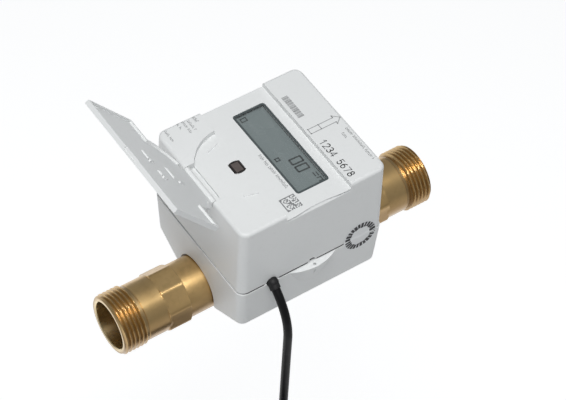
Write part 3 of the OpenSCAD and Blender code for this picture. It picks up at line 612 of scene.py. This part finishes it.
# %% Display glass, window and optical filter
display_centre, display_half = np.array([6.1, 0.8]), np.array([8.6, 28.5])
seal_width, window_edge = 0.6, 0.28
crystal = Finish("lcd_glass", Roughness=0.25)
border = crystal.beyond(display_centre, display_half - seal_width)
haze = crystal.grain(60.0, 2.0)
field_tone = crystal.blend(haze, (0.158, 0.192, 0.194), (0.172, 0.207, 0.206))
crystal.feed(Base_Color=crystal.blend(border * 0.1, field_tone, (0.045, 0.055, 0.057)),
             Roughness=0.22 + 0.1 * haze)
dress("lcd_panel", crystal)

clear = Finish("clear_window", Roughness=0.08, IOR=1.49)
wipes = clear.grain(1.0, 3.0, clear.stretched(700.0, 90.0, 90.0))
wiped = clear.ramp(wipes, (0.5, 0.0), (0.8, 1.0))
edge = clear.beyond(display_centre, display_half - window_edge)
clear.feed(Base_Color=clear.blend(edge, (0.9, 0.92, 0.92), (0.075, 0.092, 0.094)),
           Alpha=(0.02 + 0.02 * wiped).larger(edge * 0.96), Roughness=0.06 + 0.08 * wiped)
dress("display_window", clear)

optic_centre, pupil_half, optic_edge = (-19.0, 1.5), (2.0, 2.9), 0.2
filter_glass = Finish("optical_filter", Roughness=0.15, Coat_Weight=0.5)
pupil = 1 - filter_glass.beyond(optic_centre, pupil_half)
filter_cloud = filter_glass.grain(500.0, 2.0)
filter_tone = filter_glass.blend(pupil * (0.55 + 0.4 * filter_cloud),
                                 (0.014, 0.010, 0.009), (0.13, 0.107, 0.098))
filter_glass.feed(Base_Color=filter_tone, Roughness=0.14 + 0.1 * filter_cloud)
dress("optical_window", filter_glass, optic_edge)

# %% [markdown]
# ## Print on the case and on the glass
# The marks are flat ribbons just above the surface that carries them, so they show from any
# side. A stroke is a line with a width, and a row of strokes becomes one mesh: each piece of line
# turns into a quad, as wide as the pen and longer by half a pen at both ends.


# %% Inks
def print_ink(name, dark, light):
    """A dry ink: two close shades and a gloss mixed by the same fine speckle."""
    ink = Finish(name, Roughness=0.55)
    speckle = ink.grain(2600.0, 2.0)
    return ink.feed(Base_Color=ink.blend(speckle, dark, light), Roughness=0.45 + 0.2 * speckle)


dark_ink = print_ink("dark_ink", (0.012, 0.012, 0.014), (0.04, 0.04, 0.043))
grey_ink = print_ink("grey_ink", (0.16, 0.165, 0.17), (0.26, 0.265, 0.27))
pale_ink = print_ink("pale_ink", (0.34, 0.345, 0.35), (0.44, 0.445, 0.45))
crystal_ink = Finish("crystal_ink", Roughness=0.3)
crystal_cloud = crystal_ink.grain(300.0, 2.0)
crystal_ink.feed(Base_Color=crystal_ink.blend(crystal_cloud, (0.024, 0.031, 0.031),
                                              (0.038, 0.047, 0.047)))


# %% Strokes
def ribbon(starts, stops, width, height):
    """Quads along lines on a level surface: half the width to each side and beyond each end."""
    starts, stops = np.asarray(starts, float), np.asarray(stops, float)
    ahead = stops - starts
    ahead = ahead / np.linalg.norm(ahead, axis=1, keepdims=True) * np.asarray(width).reshape(-1, 1) / 2
    left = np.column_stack([-ahead[:, 1], ahead[:, 0]])
    corners = np.stack([starts - ahead - left, stops + ahead - left,
                        stops + ahead + left, starts - ahead + left], axis=1)
    level_z = np.full(corners.shape[:2] + (1,), height)
    return np.concatenate([corners, level_z], axis=-1).reshape(-1, 3)


def quads(count):
    """Faces of separate quads, four points each."""
    return np.arange(4 * count).reshape(-1, 4)


def pen_lines(lines):
    """Starts and stops of every step of several lines of points."""
    return np.vstack([line[:-1] for line in lines]), np.vstack([line[1:] for line in lines])


def print_quads(name, points, ink):
    """One printed mark: a piece made of separate quads of ink."""
    return make_piece(name, points, quads(len(points) // 4), ink)


def printed(name, lines, width, height, ink):
    """Several lines of points, drawn with a pen on a level surface."""
    starts, stops = pen_lines([np.asarray(line, float) for line in lines])
    return print_quads(name, ribbon(starts, stops, width, height), ink)


top_z, recess_z, glass_z = 78.03, 75.03, 73.48
print("print lies at", top_z, recess_z, glass_z, "mm")

# %% [markdown]
# The flow arrow is an outline with a bar across its shaft. The row of figures beside it is plain
# counting, drawn with a pen of half a millimetre; a figure reads towards -Y with its top at +X.

# %% Arrow and figures
pen = 0.5
arrow = [[(37.6, 1.1), (22.6, 1.1), (22.6, -2.1), (37.6, -2.1), (37.6, -3.4), (41.0, -0.5),
          (37.6, 2.4), (37.6, 1.1)], [(28.8, 1.1), (28.8, -2.1)]]
printed("flow_arrow", arrow, pen, top_z, pale_ink)


def bow(centre, half_width, half_height, first, last):
    """Part of an ellipse, from one angle to another in degrees, anticlockwise from the right."""
    turn = np.radians(np.linspace(first, last, 13))
    return np.asarray(centre) + np.column_stack([half_width * np.cos(turn), half_height * np.sin(turn)])


figures = {
    "1": [[(0.08, 0.76), (0.34, 1.0), (0.34, 0.0)]],
    "2": [np.vstack([bow((0.31, 0.72), 0.27, 0.28, 170, -35), [(0.03, 0.0), (0.62, 0.0)]])],
    "3": [bow((0.29, 0.76), 0.25, 0.24, 150, -90), bow((0.29, 0.26), 0.29, 0.26, 90, -150)],
    "4": [[(0.46, 0.0), (0.46, 1.0), (0.0, 0.28), (0.62, 0.28)]],
    "5": [np.vstack([[(0.55, 1.0), (0.13, 1.0), (0.09, 0.54)],
                     bow((0.29, 0.32), 0.28, 0.32, 125, -150)])],
    "6": [bow((0.31, 0.30), 0.27, 0.30, 0, 360), bow((0.58, 0.36), 0.54, 0.64, 180, 105)],
    "7": [[(0.02, 1.0), (0.6, 1.0), (0.2, 0.0)]],
    "8": [bow((0.31, 0.76), 0.23, 0.24, 0, 360), bow((0.31, 0.26), 0.28, 0.26, 0, 360)]}
figure_x, first_figure_y, figure_h, figure_step, figure_width = 22.7, -8.6, 3.7, 3.0, 0.95
number_rows = []
for place, figure in enumerate("1234 5678"):
    for line in figures.get(figure, []):
        across, up = np.asarray(line, float).T * figure_h
        figure_y = first_figure_y - figure_step * place - figure_width * across
        number_rows.append(np.column_stack([figure_x + up, figure_y]))
printed("number_row", number_rows, pen, top_z, grey_ink)

# %% [markdown]
# A field of bars, a chequered square and rows of letter-like strokes stand for the small print.
# Their rhythm comes from multiples of the golden ratio, whose fractions never repeat evenly.

# %% Bars, chequered square and small print
golden = (math.sqrt(5) - 1) / 2


def uneven(count, shift=0.0):
    """Numbers from 0 to 1 that look unordered: fractions of multiples of the golden ratio."""
    return np.mod(np.arange(1, count + 1) * golden + shift, 1.0)


bar_count, bars_length, first_bar_y, bar_foot, bar_top = 30, 15.8, 25.5, 23.2, 26.4
bar_pitch = bars_length / bar_count
bar_y = first_bar_y - bar_pitch * (np.arange(bar_count) + 0.5)
bar_width = bar_pitch * (0.3 + 0.5 * uneven(bar_count))
bar_low = np.column_stack([np.full(bar_count, bar_foot), bar_y])
bar_high = np.column_stack([np.full(bar_count, bar_top), bar_y])
print_quads("bar_field", ribbon(bar_low, bar_high, bar_width, top_z), grey_ink)

cells, square_size, square_x, square_y, square_fill = 14, 8.6, -13.6, -27.0, 0.96
cell = square_size / cells
dot = 0.02
row, column = np.divmod(np.arange(cells * cells), cells)
last_row, last_column = row == cells - 1, column == cells - 1
edge_cell = (row == 0) | (column == 0) | (last_row & (column % 2 == 0)) | (last_column & (row % 2 == 0))
filled = edge_cell | (np.mod((row * row + 3 * column * row + 5 * column) * golden, 1.0) > 0.52)
cell_x = square_x + cell * (row[filled] + 0.5)
cell_y = square_y - cell * (column[filled] + 0.5)
cell_start = np.column_stack([cell_x - dot, cell_y])
cell_stop = np.column_stack([cell_x + dot, cell_y])
print_quads("chequered_square", ribbon(cell_start, cell_stop, cell * square_fill, recess_z), grey_ink)
letter_pitch, letter_pen, letter_bar = 0.8, 0.22, 0.45


def fine_print(x, first_y, last_y, height, shift, level_z):
    """Letter-like strokes in a row towards -Y: an upright each, tall or low, with a bar at the
    foot, the middle or the top, and a gap where the uneven number is small."""
    count = int((first_y - last_y) / letter_pitch)
    chance = uneven(count, shift)
    kept = chance > 0.13
    y = (first_y - letter_pitch * np.arange(count))[kept]
    chance = chance[kept]
    tall = height * np.where(chance > 0.62, 1.0, 0.72)
    bar = x + tall * np.round(2 * np.mod(chance * 7, 1.0)) / 2
    starts = np.vstack([np.column_stack([np.full(len(y), x), y]), np.column_stack([bar, y])])
    stops = np.vstack([np.column_stack([x + tall, y]), np.column_stack([bar, y - letter_bar])])
    return ribbon(starts, stops, letter_pen, level_z)


# x, first and last y, height, shift of the rhythm, level
fine_rows = {"rear_line": (39.0, -8.0, -32.8, 1.3, 0.10, top_z),
             "rear_word": (35.5, -9.0, -14.1, 1.3, 0.45, top_z),
             "legend_line": (-6.2, 2.0, -23.4, 1.7, 0.30, recess_z),
             "pad_line_1": (-30.9, 38.4, 34.0, 1.2, 0.2, top_z),
             "pad_line_2": (-28.0, 38.4, 28.6, 1.2, 0.7, top_z),
             "pad_line_3": (-25.3, 38.1, 30.0, 1.2, 0.5, top_z),
             "pad_line_4": (-22.0, 38.1, 34.0, 1.8, 0.9, top_z),
             "pad_line_5": (-38.6, 37.6, 29.0, 1.2, 0.35, top_z)}
for name, place in fine_rows.items():
    print_quads(name, fine_print(*place), grey_ink)

# %% [markdown]
# The glass shows two noughts of seven-bar figures and a few small marks. A nought is six bars
# round a slanted box, with small gaps between them.


# %% Figures on the glass
def nought(x, left):
    """Six bars of a seven-bar figure: two along the top and bottom, four along the sides."""
    right, lean = left - nought_w, nought_slant * nought_h
    low, middle, high = x, x + nought_h / 2, x + nought_h
    bars = [[(low, left - gap), (low, right + gap)],
            [(high, left - gap - lean), (high, right + gap - lean)]]
    for y in (left, right):
        bars += [[(low + gap, y), (middle - gap, y - lean / 2)],
                 [(middle + gap, y - lean / 2), (high - gap, y - lean)]]
    return bars


nought_h, nought_w, nought_slant, gap = 6.2, 3.5, 0.05, 0.35
bar_pen, mark_pen = 0.95, 0.6
printed("glass_noughts", nought(5.8, -7.4) + nought(5.8, -12.7), bar_pen, glass_z, crystal_ink)
small_marks = [[(11.4, -20.2), (11.4, -22.6)], [(13.0, -20.6), (13.0, -22.9)],
               [(11.4, -24.0), (13.2, -24.2), (13.2, -26.4), (11.4, -26.2)],
               [(0.2, -3.2), (2.2, -3.2), (2.2, -5.0), (0.2, -5.0), (0.2, -3.2)],
               [(-0.2, 29.2), (2.8, 29.2)],
               [(-0.2, 27.6), (2.8, 27.6), (2.8, 25.4), (-0.2, 25.4), (-0.2, 27.6)]]
printed("glass_marks", small_marks, mark_pen, glass_z, crystal_ink)

# %% [markdown]
# On the near side a round film seals the split of the two shells, with a ring of ticks printed on
# it. The two walls lean differently and stand a step apart, so the film follows the lower one,
# crosses the gap in a smooth slope and then follows the upper one.

# %% Seal film on the near wall
ring_x, ring_z, ring_in, ring_out, film_r = 29.1, 33.1, 5.7, 9.3, 10.3
film_rows, film_columns, film_rise, ink_rise, film_middle, tick_pitch = 30, 72, 0.06, 0.04, 0.4, 15
base_hy, base_top, base_lean = 40.3, 32.0, 1.2 / 27.0
upper_foot, upper_lean, slope_foot, slope_height = 32.8, 0.5 / 45.2, 31.9, 2.6
seal_film = Finish("seal_film", Roughness=0.32)
film_cloud = seal_film.grain(700.0, 3.0)
seal_film.feed(Base_Color=seal_film.blend(film_cloud, (0.70, 0.715, 0.722), (0.765, 0.775, 0.778)),
               Roughness=0.26 + 0.14 * film_cloud)
seal_film.relief(film_cloud, 0.02, 0.4)


def film_y(z):
    """The near wall at a height: each shell leans inwards away from the split."""
    upper = -case_hy + upper_lean * (z - upper_foot)
    lower = -base_hy + base_lean * (base_top - z)
    return lower + (upper - lower) * smooth_step((z - slope_foot) / slope_height) - film_rise


film_turn = np.linspace(0, 2 * np.pi, film_columns, endpoint=False)
film_reach = np.linspace(film_middle, film_r, film_rows)
film_x = ring_x + film_reach[:, None] * np.cos(film_turn)
film_z = ring_z + film_reach[:, None] * np.sin(film_turn)
film = np.stack([film_x, film_y(film_z), film_z], axis=-1).reshape(-1, 3)
film_faces = grid_faces(film_rows, film_columns, close_columns=True)[:, ::-1].tolist()
film_faces.append(list(range(film_columns)))
make_piece("seal_film", film, film_faces, seal_film)

tick_turn = np.radians(np.arange(0, 360, tick_pitch) + tick_pitch / 2)
tick_half = np.radians(4.1 + 1.8 * uneven(len(tick_turn)))
tick_in = ring_in + 0.7 * uneven(len(tick_turn), 0.4)
tick_out = np.full_like(tick_in, ring_out)
tick_reach = np.stack([tick_in, tick_in, tick_out, tick_out], axis=1)
tick_angle = tick_turn[:, None] + tick_half[:, None] * [-1.4, 1.4, 1.0, -1.0]
tick_x = ring_x + tick_reach * np.cos(tick_angle)
tick_z = ring_z + tick_reach * np.sin(tick_angle)
ticks = np.stack([tick_x, film_y(tick_z) - ink_rise, tick_z], axis=-1).reshape(-1, 3)
make_piece("seal_ring", ticks, quads(len(tick_x))[:, ::-1], dark_ink)

# %% [markdown]
# ## Rubber, steel and the parts inside
# The parts that hardly show still get a real finish: the lip's matt rubber for the other seals,
# brushed steel for the screws, blackened steel for the hinge pin, whose dark end is also a painted
# shade for its hinge eye, and simple moulded or lacquered surfaces inside the case.


# %% Finishes of the small parts
def moulded(name, dark, light, roughness, scale, depth):
    """Two close shades mixed by noise, the same noise roughening the gloss and the surface."""
    finish = Finish(name, Roughness=roughness)
    lumps = finish.grain(scale, 3.0)
    finish.feed(Base_Color=finish.blend(lumps, dark, light),
                Roughness=roughness - 0.08 + 0.16 * lumps)
    return finish.relief(lumps, depth, 0.5)


dark_plastic = moulded("dark_plastic", (0.02, 0.02, 0.022), (0.045, 0.045, 0.05),
                       0.5, 2400.0, 0.015)
transducer_plastic = moulded("transducer_plastic", (0.10, 0.105, 0.115), (0.15, 0.155, 0.165),
                             0.45, 2600.0, 0.01)
lead_plastic = moulded("lead_plastic", (0.42, 0.06, 0.045), (0.52, 0.09, 0.07), 0.38, 900.0, 0.01)
solder_mask = moulded("solder_mask", (0.012, 0.12, 0.05), (0.02, 0.17, 0.08), 0.3, 700.0, 0.01)
cell_sleeve = moulded("cell_sleeve", (0.03, 0.11, 0.065), (0.045, 0.15, 0.09), 0.32, 500.0, 0.02)
steel = Finish("steel", Metallic=1.0, Roughness=0.32)
brushed = steel.grain(1.0, 2.0, steel.stretched(300.0, 3000.0, 300.0))
steel.feed(Base_Color=steel.blend(brushed, (0.52, 0.53, 0.55), (0.68, 0.69, 0.71)),
           Roughness=0.24 + 0.18 * brushed)
steel.relief(brushed, 0.01, 0.4)
# painted shade: the pin's blackened steel is kept this dark to stand for the shade in the hinge eye
blackened_steel_painted_shade = moulded("blackened_steel_painted_shade", (0.02, 0.02, 0.022), (0.05, 0.05, 0.052), 0.35, 2200.0, 0.01)
blackened_steel_painted_shade.feed(Metallic=0.6)

finish_of = {rubber: ("case_gasket", "saddle_gasket", "transducer_seals", "cable_grommet"),
             dark_plastic: ("board_chips", "optical_pair", "battery_cradle_near",
                            "battery_cradle_far", "cable_tie"),
             transducer_plastic: ("transducer_inlet", "transducer_outlet"),
             lead_plastic: ("transducer_leads", "battery_leads", "wire_ends"),
             solder_mask: ("circuit_board",), cell_sleeve: ("battery_cell_near", "battery_cell_far"),
             steel: ("clamp_plate", "clamp_screws", "board_screws", "case_screws"),
             blackened_steel_painted_shade: ("hinge_pin",), jacket: ("inner_lead",)}
for finish, names in finish_of.items():
    for name in names:
        dress(name, finish)

# %% [markdown]
# ## Floor and light
# The meter is held by its pipe, so the pale floor lies well below it. It glows faintly, as paper
# lit from behind, and less towards -Y, so that the underside of the brass has something darker to
# mirror. A softbox hangs above, a little towards -X and -Y, so the top faces are the brightest and
# the ledge at the split is lit too; a dim sky and the floor fill the sides to a little over half
# of that. A second, smaller box draws the bright streak along the brass. Diffuse rays don't see
# it, so it leaves the case alone.

# %% Floor
floor_level, floor_half = -620.0, 6000.0
paper = Finish("floor_paper", Base_Color=(0.88, 0.88, 0.88), Roughness=0.9, Emission_Strength=0.52)
paper.feed(Emission_Color=paper.ramp(paper.axis("Y") * 0.5 + 0.5, (0.15, 0.2), (0.5, 1.0)))
floor_mesh = bpy.data.meshes.new("floor")
floor_corners = np.array([[-1, -1, 0], [1, -1, 0], [1, 1, 0], [-1, 1, 0]]) * floor_half
floor_corners[:, 2] = floor_level
floor_mesh.from_pydata((floor_corners * MM).tolist(), [], [(0, 1, 2, 3)])
floor_mesh.materials.append(paper.material)
floor = bpy.data.objects.new("floor", floor_mesh)
bpy.context.scene.collection.objects.link(floor)
print("floor at", floor_level, "mm")

# %% Light
sky = bpy.data.worlds.new("studio")
sky.use_nodes = True
sky.node_tree.nodes["Background"].inputs["Color"].default_value = (0.94, 0.97, 1.0, 1.0)
sky.node_tree.nodes["Background"].inputs["Strength"].default_value = 0.28
bpy.context.scene.world = sky
bpy.context.scene.view_settings.view_transform = "Standard"


def softbox(name, place, target, size, power):
    """A square area light at a place in metres, turned to face a target."""
    light = bpy.data.lights.new(name, "AREA")
    light.shape, light.size, light.energy = "SQUARE", size, power
    lamp = bpy.data.objects.new(name, light)
    away = np.array(place, float) - np.array(target, float)
    away /= np.linalg.norm(away)
    beside = np.cross([0.0, 1.0, 0.0], away)
    beside /= np.linalg.norm(beside)
    turned_to = np.eye(4)
    turned_to[:3, :3] = np.stack([beside, np.cross(away, beside), away], axis=1)
    turned_to[:3, 3] = place
    lamp.matrix_world = Matrix(turned_to.tolist())
    bpy.context.scene.collection.objects.link(lamp)
    print(name, "at", place, power, "W")
    return lamp


softbox("overhead", (-0.36, -0.42, 1.52), (0.0, 0.0, 0.04), 0.75, 19.0)
glint = softbox("glint", (0.0, -0.36, 1.3), (0.0, 0.0, 0.0), 0.35, 6.0)
glint.visible_diffuse = False
